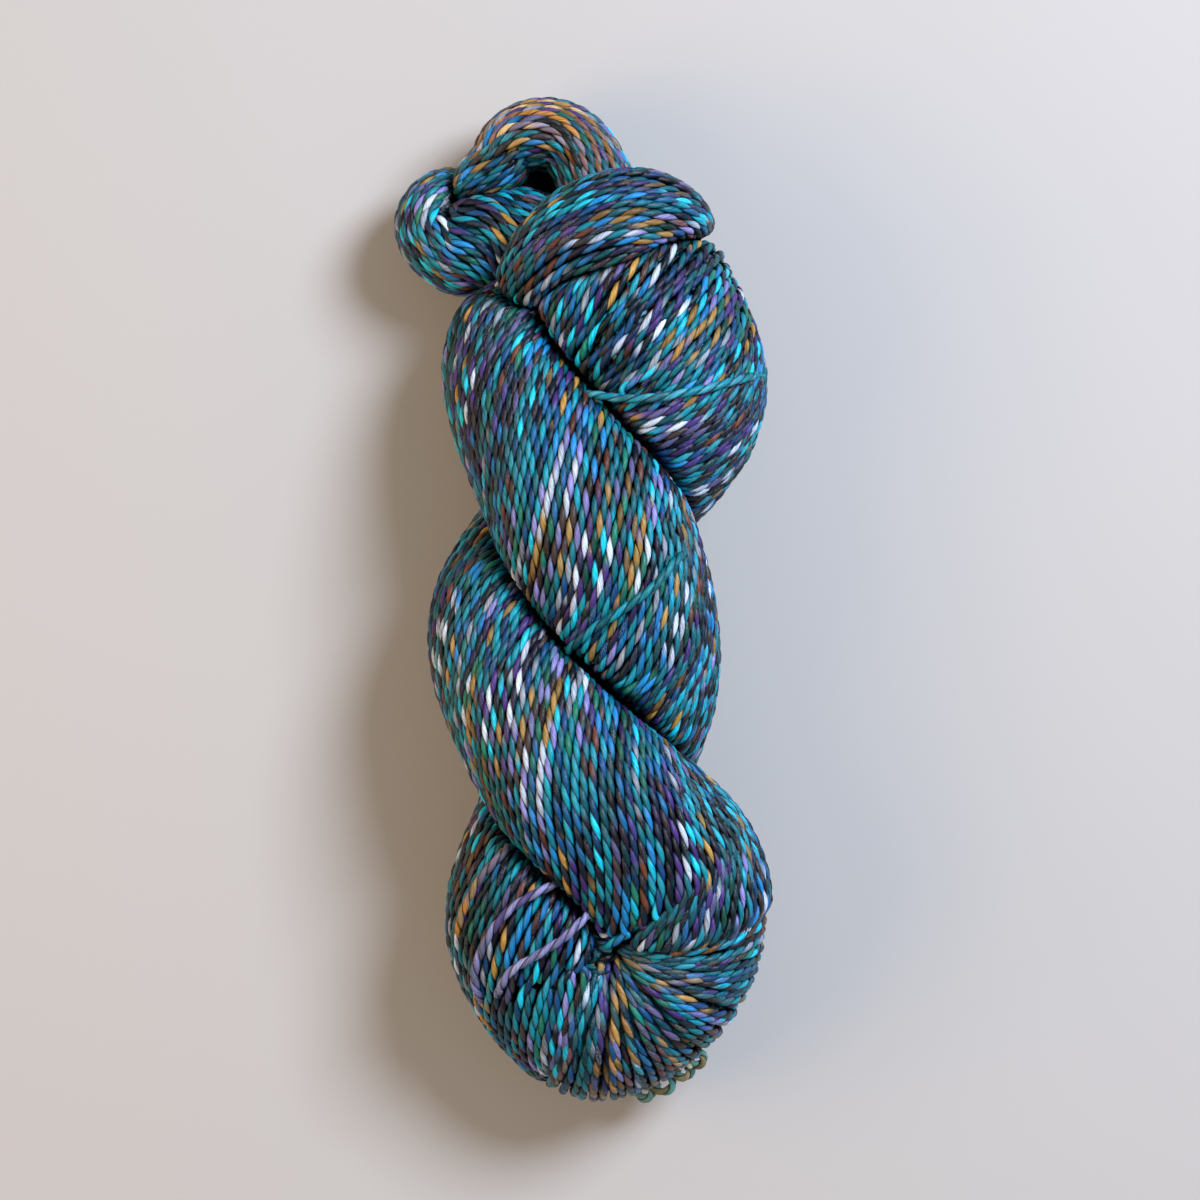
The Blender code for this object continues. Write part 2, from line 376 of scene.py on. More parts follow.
    # Painted shade in the seams: the deeper a strand was pressed into a seam, the darker its colour is painted.
    sunk = add(tree, "ShaderNodeAttribute", {"attribute_name": "sunk"}).outputs["Fac"]
    seam = add(
        tree,
        "ShaderNodeMapRange",
        {"interpolation_type": "SMOOTHSTEP"},
        {"Value": sunk, "From Min": 0.0, "From Max": 4.5, "To Min": 1.0, "To Max": 0.04},
    ).outputs[0]
    shade = add(tree, "ShaderNodeMath", {"operation": "MULTIPLY"}, {0: shade, 1: seam}).outputs[0]
    coloured = add(
        tree,
        "ShaderNodeMix",
        {"data_type": "RGBA", "blend_type": "MULTIPLY"},
        {"Factor": 1.0, 6: dye, 7: shade},
    )
    tree.links.new(coloured.outputs[2], surface.inputs["Base Color"])
    surface.inputs["Roughness"].default_value = 0.4
    surface.inputs["Specular IOR Level"].default_value = 0.35
    bump = add(tree, "ShaderNodeBump", None, {"Height": streak, "Strength": 0.5, "Distance": 0.0002})
    tree.links.new(bump.outputs[0], surface.inputs["Normal"])
    return material


yarn = marled_yarn("marled_two_ply_yarn", MARLED)

# ---------------------------------------------------------------------------
# The rope of yarn: one loop of the reel, a few hundred strands thick, twisted one way
# and folded in half, so that its two legs wrap round each other. The outermost strands
# are laid one by one, from the locked end down one leg, round the fold and back up the
# other, on to the round lobe where the second leg doubles back beside the knot.
# ---------------------------------------------------------------------------
SEED = 11
PRESSED = 1.5  # the rounded underside sinks this far into the table
DIP = 2.6  # a strand with no room at the surface lies this much deeper

ROPE = (
    # x, y, z, half_width, half_height, lay: the strands' slant to the rope, degrees
    (4.0, 91.5, 28.5, 17.0, 17.0, 82.0),
    (7.0, 86.0, 30.0, 25.0, 25.0, 82.0),
    (13.5, 72.0, 38.0, 27.0, 26.0, 80.0),
    (21.0, 51.0, 36.0, 26.5, 26.0, 76.0),
    (9.0, 31.0, 26.0, 24.5, 24.0, 54.0),
    (-2.5, 12.5, 23.0, 24.0, 23.0, 45.0),
    (-13.0, -11.0, 33.0, 25.0, 25.0, 48.0),
    (2.0, -47.0, 46.0, 24.5, 24.0, 48.0),
    (20.5, -71.0, 37.0, 27.0, 26.0, 50.0),
    (20.5, -86.5, 31.0, 26.0, 26.0, 62.0),
    (7.0, -102.0, 26.0, 25.5, 25.5, 70.0),
    (-6.5, -88.5, 29.5, 25.0, 25.0, 54.0),
    (-7.5, -74.0, 33.0, 25.0, 24.5, 50.0),
    (2.0, -48.0, 23.0, 24.0, 23.0, 45.0),
    (11.0, -16.0, 35.0, 25.0, 25.0, 49.0),
    (3.0, 19.0, 46.0, 25.0, 24.0, 50.0),
    (-10.5, 55.0, 29.0, 24.0, 24.5, 45.0),
    (-8.5, 72.0, 23.0, 20.0, 21.0, 40.0),
    (-11.0, 84.5, 22.5, 18.0, 18.5, 46.0),
    (-21.0, 89.5, 22.0, 15.5, 17.5, 50.0),
    (-30.5, 90.0, 20.0, 14.0, 16.5, 46.0),
    (-36.5, 94.0, 18.5, 11.0, 15.0, 36.0),
    (-34.5, 99.5, 18.0, 9.5, 14.0, 26.0),
    (-28.5, 102.5, 16.5, 7.5, 12.0, 22.0),
    (-22.0, 102.5, 14.0, 6.0, 10.0, 20.0),
)


def smooth_route(table, step):
    """A Catmull-Rom curve through a route table's rows, with a place about every `step` mm.

    The distance run, called the stop, comes first in each row."""
    rows = np.array(table, float)
    rows = np.vstack([2 * rows[0] - rows[1], rows, 2 * rows[-1] - rows[-2]])
    t = np.linspace(0.0, 1.0, 40, endpoint=False)[:, None]
    fine = [
        0.5 * (2 * b + (c - a) * t + (2 * a - 5 * b + 4 * c - d) * t**2 + (3 * b - a - 3 * c + d) * t**3)
        for a, b, c, d in zip(rows, rows[1:], rows[2:], rows[3:])
    ]
    fine = np.vstack(fine + [rows[-2]])
    fine[:, 2] -= PRESSED
    length = distance_run(fine[:, :3])
    stops = np.linspace(0.0, length[-1], max(3, round(length[-1] / step) + 1))
    return np.column_stack([stops] + [np.interp(stops, length, column) for column in fine.T])


def directions(route):
    """Heading, level sideways and upward directions along a route."""
    heading = np.gradient(route[:, 1:4], axis=0)
    heading /= np.linalg.norm(heading, axis=1)[:, None]
    side = np.cross(heading, [0.0, 0.0, 1.0])
    side /= np.linalg.norm(side, axis=1)[:, None]
    return heading, side, np.cross(side, heading)


def wander(rng, stops, period):
    """A smooth random number between -1 and 1 along a strand."""
    values = rng.uniform(-1.0, 1.0, int(stops[-1] / period) + 6)
    low = np.floor(stops / period).astype(int)
    t = stops / period - low
    t = t * t * (3 - 2 * t)
    return values[low] * (1 - t) + values[low + 1] * t


def relax(strand, times):
    """Evens out a strand's small kinks, its ends held."""
    for _ in range(times):
        strand[1:-1, :3] = 0.25 * strand[:-2, :3] + 0.5 * strand[1:-1, :3] + 0.25 * strand[2:, :3]


def surfacing(room, rank):
    """0 to 1: how far the strands of these ranks come up where `room` strands fit side by side."""
    show = np.clip((room - rank) / 3.0 + 0.8, 0.0, 1.0)
    return show * show * (3 - 2 * show)


def stretches(kept):
    """First and last place of each stretch of more than six points that is kept."""
    kept = np.concatenate([[False], kept, [False]])
    edges = np.nonzero(kept[1:] != kept[:-1])[0]
    return [(start, end) for start, end in zip(edges[::2], edges[1::2]) if end - start > 6]


def lay_strands(table, count, under, seed, spacing, loose):
    """Strands side by side round a bundle, `under` mm below its surface.

    Columns: x, y, z in mm, stop, and how far the strand shows."""
    rng = np.random.default_rng(seed)
    route = smooth_route(table, 0.25)
    stops, centres = route[:, 0], route[:, 1:4]
    half_width, half_height, slant = route[:, 4], route[:, 5], np.tan(np.radians(route[:, 6]))
    heading, side, rise = directions(route)
    bend = np.gradient(heading, axis=0) / (stops[1] - stops[0])
    padded = [np.pad(column, 12, mode="edge") for column in bend.T]
    bend = np.column_stack([np.convolve(column, np.ones(25) / 25, "valid") for column in padded])
    # The share of the oval outline passed at each angle.
    angles = np.linspace(0.0, 2 * np.pi, 97)
    step = np.hypot(half_width[:, None] * np.sin(angles), half_height[:, None] * np.cos(angles))
    passed = np.cumsum(0.5 * (step[:, 1:] + step[:, :-1]), axis=1) * (angles[1] - angles[0])
    passed = np.column_stack([np.zeros(len(route)), passed])
    outline = passed[:, -1].copy()
    passed /= outline[:, None]
    # The level frame is left-handed seen along the heading, so a right-hand lay runs down.
    turned = np.cumsum(slant / outline * np.gradient(stops))
    rank = np.argsort(np.argsort(np.modf(np.arange(count) * GOLDEN)[0]))
    labels = np.arange(count) / count
    shown = np.empty((count, len(route)))
    angle = np.empty((count, len(route)))
    for j in range(len(route)):
        share = np.mod(labels - turned[j], 1.0)
        at = np.interp(share, passed[j], angles)
        reach = half_width[j] * np.cos(at)[:, None] * side[j]
        reach = reach + half_height[j] * np.sin(at)[:, None] * rise[j]
        # Strands open out over the outside of a bend and crowd on its inside. Where
        # fewer fit side by side, the others dip under until there is room again.
        stretch = np.clip(1.0 - reach @ bend[j], 0.12, 3.5)
        room = outline[j] / PITCH * stretch / np.hypot(stretch, slant[j])
        show = np.maximum(surfacing(room, rank), 0.02)
        fits = np.clip(room / count, 0.02, 1.0)
        fits *= show.sum() / fits.sum()
        total = show.sum()
        wanted = np.cumsum(fits) - 0.5 * fits
        wanted = np.concatenate([wanted - total, wanted, wanted + total])
        place = np.interp(np.cumsum(show) - 0.5 * show, wanted, np.concatenate([labels - 1, labels, labels + 1]))
        shown[:, j] = show
        angle[:, j] = place - turned[j]
    strands = []
    # Neighbours drift together, as locks of hair do, and each strand a little by itself.
    locks = [wander(rng, stops, 35.0) for _ in range(8)]
    for i in range(count):
        lock, t = int(labels[i] * 8), labels[i] * 8 % 1.0
        drift = (locks[lock] * (1 - t) + locks[(lock + 1) % 8] * t) * 1.5
        own = (wander(rng, stops, 11.0) + wander(rng, stops, 29.0)) * 0.5 * loose
        place = angle[i] + (drift + own) / outline
        turn = np.array([np.interp(p % 1.0, passed[j], angles) for j, p in enumerate(place)])
        depth = under + YARN_WIDTH / 2 + (1 - shown[i]) * DIP
        depth = depth + 0.5 * loose * (wander(rng, stops, 15.0) + wander(rng, stops, 40.0))
        across = (half_width - depth) * np.cos(turn)
        above = (half_height - depth) * np.sin(turn)
        points = centres + across[:, None] * side + above[:, None] * rise
        length = distance_run(points)
        even = np.arange(0.0, length[-1], spacing)
        columns = [*points.T, stops, shown[i]]
        strand = np.column_stack([np.interp(even, length, column) for column in columns])
        relax(strand, round(30 / spacing**2))
        strands.append(strand)
    return strands


def outside(points, stops, route, window=None):
    """How far each point is outside a bundle's surface in mm, below 0 within it.

    With a window, the stretch of the route nearest the point's own stop is left out."""
    heading, side, rise = directions(route)
    across, above = route[:, 4], route[:, 5]
    mean = np.sqrt(across * above)
    # Towards either end the bundle reaches less and less far past its own centre line.
    from_end = np.minimum(route[:, 0], route[-1, 0] - route[:, 0])
    past = np.minimum(mean, from_end + 0.15 * mean)
    away = np.empty(len(points))
    for start in range(0, len(points), 6000):
        part = slice(start, start + 6000)
        square = 0.0
        for axis, size in ((side, across), (rise, above), (heading, past)):
            along = points[part] @ axis.T - (axis * route[:, 1:4]).sum(axis=1)
            square = square + (along / size) ** 2
        gap = (np.sqrt(square) - 1.0) * mean
        if window is not None:
            gap[np.abs(stops[part, None] - route[None, :, 0]) < window[part, None]] = 99.0
        away[part] = gap.min(axis=1)
    return away


def pack_against(strand, home, other):
    """Presses a strand back to its own bundle's side of the seam where two bundles meet.

    Returns the strand, how far each point was outside the other bundle, and how far it was pressed."""
    points, stops = strand[:, :3], strand[:, 3]
    _, side, rise = directions(home)
    columns = (*home.T, *side.T, *rise.T)
    at = np.column_stack([np.interp(stops, home[:, 0], column) for column in columns])
    centre, across, above = at[:, 1:4], at[:, 4], at[:, 5]
    mean = np.sqrt(across * above)
    reach = points - centre
    sideways, upward = (reach * at[:, 7:10]).sum(axis=1), (reach * at[:, 10:13]).sum(axis=1)
    size = np.hypot(sideways / across, upward / above)
    # Near a bundle's own tight bends its two sides are one mass, with no seam yet.
    own = mean * np.clip(2.0 * mean / 25.0 + 0.75, 1.7, 2.75)
    window = own if other is home else None
    away = outside(points, stops, other, window)
    clear = YARN_WIDTH * (0.9 if other is home else 0.55)
    pressed = np.zeros(len(points))
    touching = np.nonzero(away - (size - 1.0) * mean < clear)[0]
    if len(touching):
        low, high = np.full(len(touching), 0.15), np.ones(len(touching))
        near = None if window is None else window[touching]
        for _ in range(7):
            middle = 0.5 * (low + high)
            tried = centre[touching] + reach[touching] * middle[:, None]
            gap = outside(tried, stops[touching], other, near)
            gap -= (middle * size[touching] - 1.0) * mean[touching]
            low = np.where(gap >= clear, middle, low)
            high = np.where(gap >= clear, high, middle)
        strand = strand.copy()
        strand[touching, :3] = centre[touching] + reach[touching] * low[:, None]
        pressed[touching] = (1.0 - low) * size[touching] * mean[touching]
    return strand, away, pressed


BAND = (
    # the closing band, round the locked end of the first leg
    (-13.0, 69.0, 24.0, 9.0, 9.0, 12.0),
    (-12.0, 74.0, 36.0, 10.0, 9.0, 13.0),
    (-8.0, 80.0, 46.0, 12.0, 8.5, 14.0),
    (-2.0, 86.0, 53.0, 13.5, 8.5, 15.0),
    (6.5, 90.5, 56.5, 14.0, 8.5, 15.0),
    (15.0, 93.5, 54.5, 13.0, 9.0, 14.0),
    (23.0, 92.5, 45.5, 11.0, 10.0, 12.0),
    (25.0, 90.0, 32.0, 10.0, 10.0, 10.0),
    (22.0, 86.0, 20.0, 9.0, 9.0, 10.0),
)
ARCH = (
    # the standing arch over the knot, from the crease in the lobe to the closing band
    (-32.5, 97.5, 22.0, 4.0, 8.0, 30.0),
    (-28.0, 103.0, 23.0, 6.5, 11.0, 30.0),
    (-20.5, 108.5, 22.5, 8.0, 15.0, 28.0),
    (-17.0, 114.0, 22.5, 9.0, 16.5, 24.0),
    (-10.0, 117.0, 23.5, 9.5, 17.0, 20.0),
    (-2.0, 115.0, 24.0, 9.5, 17.0, 18.0),
    (3.5, 107.5, 25.0, 9.5, 17.0, 18.0),
    (7.0, 97.0, 26.0, 10.0, 17.0, 18.0),
    (9.0, 86.0, 26.0, 9.0, 15.0, 18.0),
)
BUNDLES = {
    "rope": smooth_route(ROPE, 1.0),
    "band": smooth_route(BAND, 1.0),
    "arch": smooth_route(ARCH, 1.0),
}


def outer_layer(bundle, table, count, under, seed, spacing, loose, deepest):
    """The strands that show on a bundle, pressed against its neighbours.

    They end where they lie more than `deepest` mm inside another bundle. Columns: x, y, z
    in mm, the direction out of the bundle, how far it is sunk in a seam, and the stop."""
    home, runs = BUNDLES[bundle], []
    for number, strand in enumerate(lay_strands(table, count, under, seed, spacing, loose)):
        hidden, sunk = np.full(len(strand), 99.0), np.zeros(len(strand))
        for name, other in BUNDLES.items():
            if name != bundle or name == "rope":
                strand, away, pressed = pack_against(strand, home, other)
                hidden, sunk = np.minimum(hidden, away), sunk + pressed
        strand[:, 2] = np.maximum(strand[:, 2], YARN_WIDTH / 2 + under)
        relax(strand, 3)
        centre = np.column_stack([np.interp(strand[:, 3], home[:, 0], home[:, k]) for k in (1, 2, 3)])
        out = strand[:, :3] - centre
        out /= np.linalg.norm(out, axis=1)[:, None]
        row = np.column_stack([strand[:, :3], out, sunk, strand[:, 3]])
        for start, end in stretches((hidden > -deepest) & (strand[:, 4] > 0.05)):
            runs.append((row[start:end], seed * 100 + number))
    return runs


EYE = (9.0, -85.0)  # of the fold, where its strands come together
FAN_FROM, FAN_TO = -118.0, 14.0  # the fan's sides, in degrees round the eye from above
DIPPED, ENDED = 7.0, 9.0  # degrees inside the fan where another strand is fully under it, and ends
FOLD_BELOW = -74.0  # the rope is in its fold where y is below this


def bearings(points):
    """Direction and distance of each point from the eye of the fold, seen from above."""
    across, along = points[:, 0] - EYE[0], points[:, 1] - EYE[1]
    return np.degrees(np.arctan2(along, across)), np.hypot(across, along)


def swing(share, over):
    """Degrees by which a strand of the fan heads further down where it leaves the eye.

    `share` is its place in the fan, 0 at the left to 1 at the right, and `over` how far
    it has come over the rope from its outer side, in radians."""
    return 32.0 * share**1.5 * np.clip(over / 2.1, 0.0, 1.0) ** 1.6


def outside_fan(run):
    """Lets another strand of the rope dip and end under the side of the fan."""
    row, number = run
    bearing, _ = bearings(row)
    radial = row[:, 3] * np.cos(np.radians(bearing)) + row[:, 4] * np.sin(np.radians(bearing))
    limit = FAN_TO - swing(1.0, np.clip(np.arctan2(row[:, 5], radial), 0.0, None))
    within = np.minimum(bearing - FAN_FROM, limit - bearing)
    below_fan = row[:, 5] < -0.55
    within[below_fan | (row[:, 7] < FOLD[0]) | (row[:, 7] > FOLD[1])] = -1.0
    row = row.copy()
    row[:, :3] -= np.clip(within / DIPPED, 0.0, 1.0)[:, None] * DIP * row[:, 3:6]
    return [(row[start:end, :7], number) for start, end in stretches(within < ENDED)]


rope = BUNDLES["rope"]
turn = rope[rope[:, 2] < FOLD_BELOW]
FOLD = turn[0, 0], turn[-1, 0]  # the stops where the fold starts and ends
outer = outer_layer(
    "rope", ROPE, count=54, under=0.0, seed=SEED, spacing=1.3, loose=0.36, deepest=4.5
)
outer = [part for run in outer for part in outside_fan(run)]
order = np.random.default_rng(SEED).permutation(len(outer))
for k in range(4):
    spin(f"rope_strands_{k + 1}", [outer[j] for j in order[k::4]], yarn)
below = outer_layer(
    "rope", ROPE, count=44, under=2.3, seed=SEED + 1, spacing=2.8, loose=0.5, deepest=3.5
)
below = [part for run in below for part in outside_fan(run)]
spin("rope_strands_below", below, yarn, sides=8, **BELOW)

# ---------------------------------------------------------------------------
# The fan at the fold: where the rope turns tightly back on itself the strands lie
# across it and come together in the eye, like the folds of a drawn purse. Fewer and
# fewer fit side by side towards the eye, so the others dip under.
# ---------------------------------------------------------------------------
TUBE = 25.0  # the rope's radius there, near enough to time the strands' wandering


def fan_strands(count, under, seed, spacing):
    """Strands from under the fold's outer side, up over it and down into the eye."""
    rng = np.random.default_rng(seed)
    turning = rope[(rope[:, 0] > FOLD[0] - 6.0) & (rope[:, 0] < FOLD[1] + 6.0)]
    bearing, distance = bearings(turning[:, 1:3])
    round_eye = np.argsort(bearing)
    bearing, distance, turning = bearing[round_eye], distance[round_eye], turning[round_eye]
    rank = np.argsort(np.argsort(np.modf(np.arange(count) * GOLDEN)[0]))
    over = np.radians(np.arange(-72.0, 152.0, 1.5))
    arc = TUBE * (over - over[0])
    runs = []
    for number in range(count):
        at = FAN_FROM + (FAN_TO - FAN_FROM) * (number + 0.5) / count
        at = at + 2.0 * wander(rng, arc, 30.0) + 0.7 * wander(rng, arc, 12.0)
        # They leave the eye downwards and swing round towards the leg they came from.
        at = at - swing(number / count, over)
        reach = np.interp(at, bearing, distance)
        height, half_width, half_height = (np.interp(at, bearing, turning[:, k]) for k in (3, 4, 5))
        radius = np.maximum(reach + half_width * np.cos(over), 2.4)
        room = np.radians(FAN_TO - FAN_FROM) * radius / PITCH
        depth = under + YARN_WIDTH / 2 + (1 - surfacing(room, rank[number])) * DIP
        depth = depth + 0.3 * wander(rng, arc, 18.0)
        radius = np.maximum(reach + (half_width - depth) * np.cos(over), 1.6 + 0.3 * depth)
        across, along = np.cos(np.radians(at)), np.sin(np.radians(at))
        level = height + (half_height - depth) * np.sin(over)
        points = np.column_stack([EYE[0] + radius * across, EYE[1] + radius * along, level])
        points[:, 2] = np.maximum(points[:, 2], YARN_WIDTH / 2 + under)
        length = distance_run(points)
        even = np.arange(0.0, length[-1], spacing)
        out = np.column_stack([np.cos(over) * across, np.cos(over) * along, np.sin(over)])
        eye_shade = np.clip((3.2 - radius) * 2.0, 0.0, 4.0)  # painted shade: the colour darkens close to the eye
        columns = [*points.T, *out.T, eye_shade]
        strand = np.column_stack([np.interp(even, length, column) for column in columns])
        relax(strand, 8)
        runs.append((strand, seed * 100 + number))
    return runs


spin("fan_strands", fan_strands(count=44, under=0.0, seed=SEED + 6, spacing=1.2), yarn)
below = fan_strands(count=38, under=2.2, seed=SEED + 7, spacing=2.4)
spin("fan_strands_below", below, yarn, sides=8, **BELOW)

# ---------------------------------------------------------------------------
# The knot: the first leg's end closes as a band round the second leg, whose own end
# stands up as an arch beside it. A stretch dyed gold, brown and lilac runs over the
# arch's top left.
# ---------------------------------------------------------------------------
band = outer_layer(
    "band", BAND, count=34, under=0.0, seed=SEED + 2, spacing=1.0, loose=0.5, deepest=4.0
)
arch = outer_layer(
    "arch", ARCH, count=38, under=0.0, seed=SEED + 3, spacing=1.0, loose=0.5, deepest=4.0
)
GOLD = ((0.3, "#b47a30"), (0.25, "#6d4a3c"), (0.25, "#8f8aa4"), (0.2, "#d2b27c"))
GOLD_AT, GOLD_REACH, GOLD_ABOVE = (-15.0, 119.0), 4.0, 27.0


def is_gold(points, number):
    """Every other strand that passes the arch's top left on its upper side."""
    upper = points[points[:, 2] > GOLD_ABOVE]
    away = np.hypot(upper[:, 0] - GOLD_AT[0], upper[:, 1] - GOLD_AT[1])
    return number % 2 > 0 and away.min(initial=99.0) < GOLD_REACH


spin("closing_band_strands", band, yarn)
spin("arch_strands", [run for run in arch if not is_gold(*run)], yarn)
gold_yarn = marled_yarn("gold_stretch_yarn", GOLD)
spin("arch_gold_strands", [run for run in arch if is_gold(*run)], gold_yarn)
below = outer_layer(
    "band", BAND, count=22, under=2.3, seed=SEED + 4, spacing=2.0, loose=0.4, deepest=3.5
)
below += outer_layer(
    "arch", ARCH, count=26, under=2.3, seed=SEED + 5, spacing=2.0, loose=0.4, deepest=3.5
)
spin("knot_strands_below", below, yarn, sides=8, **BELOW)

# ---------------------------------------------------------------------------
# Loose strands: a few strands have slipped out of the bundles and lie slack across
# them, resting on the strands below.
# ---------------------------------------------------------------------------
TEAL = ((0.5, "#0a93ab"), (0.3, "#12a9bb"), (0.2, "#4cb4cc"))
LAVENDER = ((0.5, "#7d7fb0"), (0.3, "#5d5794"), (0.2, "#9aa0c8"))
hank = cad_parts["yarn_hank"]
surface_tree = BVHTree.FromPolygons(
    [hank.matrix_world @ v.co for v in hank.data.vertices], [tuple(f.vertices) for f in hank.data.polygons]
)
LOOSE = (
    # name, dyes, the way it lies over the hank from above: x, y in mm
    (
        "loose_teal_over_top",
        TEAL,
        ((46.0, 55.5), (38.0, 52.5), (29.0, 50.3), (20.0, 49.0), (11.0, 48.6), (3.0, 50.0)),
    ),
    (
        "loose_teal_across_middle",
        TEAL,
        ((27.0, 12.0), (22.0, 6.5), (18.0, 2.0), (9.5, -4.5), (3.0, -8.5), (-2.5, -13.0)),
    ),
    (
        "loose_lavender_by_hole",
        LAVENDER,
        ((3.0, -77.5), (-3.5, -83.5), (-10.0, -87.5), (-16.5, -92.0), (-20.0, -98.5)),
    ),
    (
        "loose_lavender_down_left",
        LAVENDER,
        ((-5.0, -70.5), (-14.0, -74.8), (-20.0, -81.0), (-24.3, -88.0), (-25.6, -94.5), (-24.0, -101.0)),
    ),
    (
        "loose_gold_down_left",
        GOLD,
        ((-17.0, -62.0), (-23.5, -69.0), (-28.5, -77.0), (-30.3, -86.0)),
    ),
)
OFF_THE_EDGE = 12.0  # height taken where a strand hangs past the hank's side
for number, (name, dyes, rows) in enumerate(LOOSE):
    rng = np.random.default_rng(SEED + 20 + number)
    line = smooth_route([(x, y, 0.0) for x, y in rows], 0.8)[:, :4]
    line[:, 1] += 0.35 * wander(rng, line[:, 0], 9.0)
    line[:, 2] += 0.35 * wander(rng, line[:, 0], 9.0)
    ground = []
    for x, y in line[:, 1:3]:
        above = Vector((x * MM, y * MM, 0.2))
        hit = surface_tree.ray_cast(above, Vector((0.0, 0.0, -1.0)))[0]
        ground.append(hit.z / MM if hit else OFF_THE_EDGE)
    ground = np.array(ground)
    # Pulled straight over the hollows, then eased, with both ends tucked in.
    height = ground.copy()
    for _ in range(120):
        height[1:-1] = np.maximum(ground[1:-1], 0.5 * (height[:-2] + height[2:]))
    for _ in range(6):
        height[1:-1] = 0.25 * height[:-2] + 0.5 * height[1:-1] + 0.25 * height[2:]
    ends = np.minimum(line[:, 0], line[-1, 0] - line[:, 0])
    height += 0.9 - 4.0 * np.clip(1.0 - ends / 5.0, 0.0, 1.0) ** 2
    up = np.tile([0.0, 0.0, 1.0, 0.0], (len(line), 1))
    run = np.column_stack([line[:, 1:3], height, up])
    spin(name, [(run, number + 1)], marled_yarn(name + "_yarn", dyes))

# ---------------------------------------------------------------------------
# Kinks: where the twist is over-lively the yarn curls up on itself in small loops at
# the fold's lower right edge.
# ---------------------------------------------------------------------------
KINK_DYES = ((0.45, "#4f9c94"), (0.3, "#b59c62"), (0.25, "#c8c8b0"))
KINKS = (
    # x, y, z of the loop's middle, its radius, and the way it points, degrees
    (21.5, -123.0, 17.0, 2.5, -75.0),
    (26.5, -119.5, 20.0, 2.1, -50.0),
    (17.0, -125.5, 15.0, 1.9, -85.0),
    (30.0, -116.5, 23.0, 1.7, -30.0),
)
curls = []
for number, (x, y, z, radius, points_to) in enumerate(KINKS):
    t = np.linspace(-0.22, 1.22, 34)
    turn = 2 * np.pi * t + np.radians(points_to) + np.pi
    past_loop = np.clip(np.abs(t - 0.5) - 0.5, 0.0, 1.0)
    reach = radius * (1.0 + past_loop * 4.0)
    line = np.column_stack([x + reach * np.cos(turn), y + reach * np.sin(turn), z + 3.2 * (t - 0.5)])
    up = np.tile([0.0, 0.0, 1.0, 0.0], (len(line), 1))
    curls.append((np.column_stack([line, up]), 50 + number))
spin("kinks", curls, marled_yarn("kinked_yarn", KINK_DYES))

# ---------------------------------------------------------------------------
# The core: the hundreds of strands inside the bundles, coloured near black as painted shadow, seen only as darkness
# between the outer ones.
# ---------------------------------------------------------------------------
# Painted shadow: yarn in full shadow, coloured near black, with no shine.
packed = bpy.data.materials.new("painted_shadow_yarn")
packed.use_nodes = True
surface = packed.node_tree.nodes["Principled BSDF"]
surface.inputs["Base Color"].default_value = linear("#050b0e")
surface.inputs["Specular IOR Level"].default_value = 0.0
SHADOW_PLUG_UNDER_ARCH = (
    # a near-black plug at the bottom of the hole under the arch: painted shadow in the hole
    (-14.0, 104.0, 15.0, 8.0, 9.0, 0.0),
    (-9.0, 104.0, 15.0, 9.0, 9.0, 0.0),
    (-4.0, 103.0, 15.0, 8.0, 9.0, 0.0),
)
CORE_SIDES = 28
CORE_FLOOR = 3.5  # its lowest point, above the strands that rest on the table
for name, routes, shrink in (
    ("rope", BUNDLES["rope"], 4.6),
    ("band", BUNDLES["band"], 4.2),
    ("arch", BUNDLES["arch"], 4.2),
    ("shadow_plug_under_arch", smooth_route(SHADOW_PLUG_UNDER_ARCH, 1.0), 0.0),
):
    route = routes[::3]
    heading, side, rise = directions(route)
    angles = np.linspace(0.0, 2 * np.pi, CORE_SIDES, endpoint=False)
    across = (route[:, 4] - shrink)[:, None, None] * np.cos(angles)[None, :, None] * side[:, None, :]
    above = (route[:, 5] - shrink)[:, None, None] * np.sin(angles)[None, :, None] * rise[:, None, :]
    rings = route[:, None, 1:4] + across + above
    rings[:, :, 2] = np.maximum(rings[:, :, 2], CORE_FLOOR)
    points = [tuple(p * MM) for p in rings.reshape(-1, 3)]
    faces = []
    for i in range(len(route) - 1):
        for k in range(CORE_SIDES):
            a, b = i * CORE_SIDES + k, i * CORE_SIDES + (k + 1) % CORE_SIDES
            faces.append((a, b, b + CORE_SIDES, a + CORE_SIDES))
    faces.append(tuple(range(CORE_SIDES)))
    faces.append(tuple(reversed(range(len(points) - CORE_SIDES, len(points)))))
    mesh = bpy.data.meshes.new(f"packed_core_{name}")
    mesh.from_pydata(points, [], faces)
    mesh.materials.append(packed)
    core = bpy.data.objects.new(f"packed_core_{name}", mesh)
    bpy.context.scene.collection.objects.link(core)
    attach(core, "root")
    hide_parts("yarn_hank")

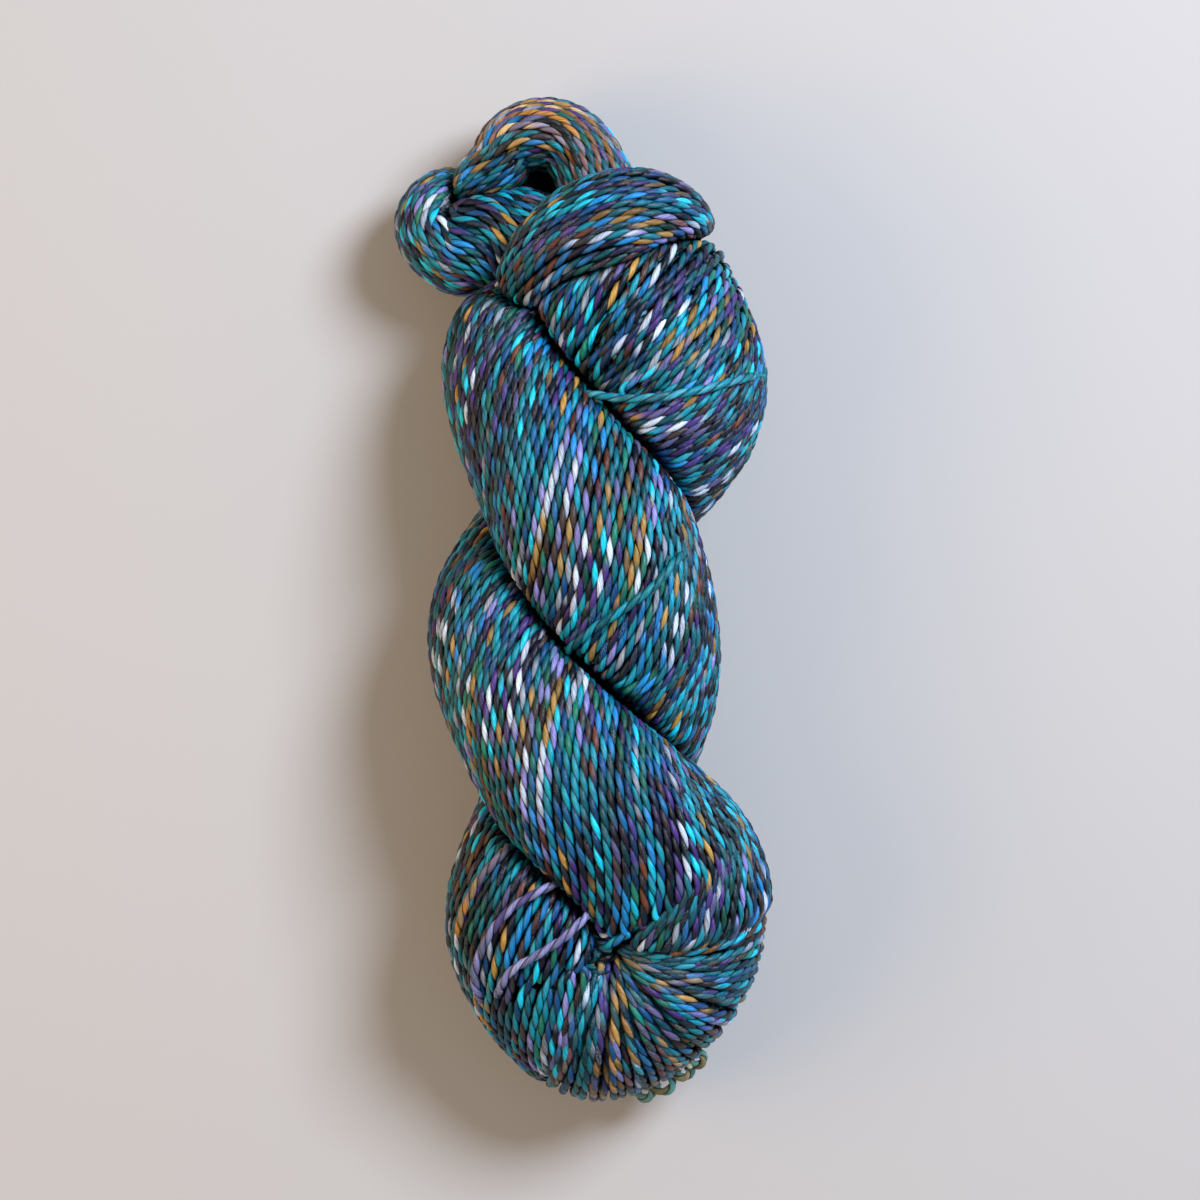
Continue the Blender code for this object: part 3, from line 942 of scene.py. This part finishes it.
# ---------------------------------------------------------------------------
# Studio: a plain pale floor, a large soft window light from the upper right, a weak
# warm fill from the left, and the camera straight overhead.
# ---------------------------------------------------------------------------
floor_mesh = bpy.data.meshes.new("floor")
floor_mesh.from_pydata([(-2, -2, 0), (2, -2, 0), (2, 2, 0), (-2, 2, 0)], [], [(0, 1, 2, 3)])
floor = bpy.data.objects.new("floor", floor_mesh)
bpy.context.scene.collection.objects.link(floor)
# Painted board: pale and matt, so the shadows stay soft on it.
board = bpy.data.materials.new("matt_white_board")
board.use_nodes = True
surface = board.node_tree.nodes["Principled BSDF"]
surface.inputs["Base Color"].default_value = linear("#c2c0bd")
surface.inputs["Roughness"].default_value = 0.8
floor_mesh.materials.append(board)

LIT_HEIGHT = 0.03  # the lamps look at the hank's middle, at this height
for name, place, size, power, colour in (
    ("window", (0.60, 0.50, 0.95), 0.5, 18.6, "#e6eeff"),
    ("fill", (-0.75, -0.1, 0.6), 0.7, 4.5, "#ffd196"),
):
    lamp = bpy.data.objects.new(name, bpy.data.lights.new(name, "AREA"))
    lamp.data.shape, lamp.data.size, lamp.data.energy = "DISK", size, power
    lamp.data.color = linear(colour)[:3]
    lamp.location = place
    towards = Vector((0.0, 0.0, LIT_HEIGHT)) - lamp.location
    lamp.rotation_euler = towards.to_track_quat("-Z", "Y").to_euler()
    bpy.context.scene.collection.objects.link(lamp)

world = bpy.data.worlds.new("studio")
world.use_nodes = True
world.node_tree.nodes["Background"].inputs[0].default_value = linear("#e6ebf2")
world.node_tree.nodes["Background"].inputs[1].default_value = 0.32
bpy.context.scene.world = world
bpy.context.scene.view_settings.view_transform = "Standard"

HEIGHT = 1.2  # of the camera
VIEW_HALF = 0.150  # half the width of the view, at the hank's middle height
MIDDLE_HEIGHT = 0.034
AIM = (0.0053, -0.0004)  # the view's middle, from the hank's
centre = (cad_box[0] + cad_box[1]) / 2
camera = bpy.data.objects.new("camera", bpy.data.cameras.new("camera"))
camera.location = (centre[0] + AIM[0], centre[1] + AIM[1], HEIGHT)
camera.data.angle = 2 * math.atan(VIEW_HALF / (HEIGHT - MIDDLE_HEIGHT))
camera.data.clip_start = 0.05
bpy.context.scene.collection.objects.link(camera)
bpy.context.scene.camera = camera
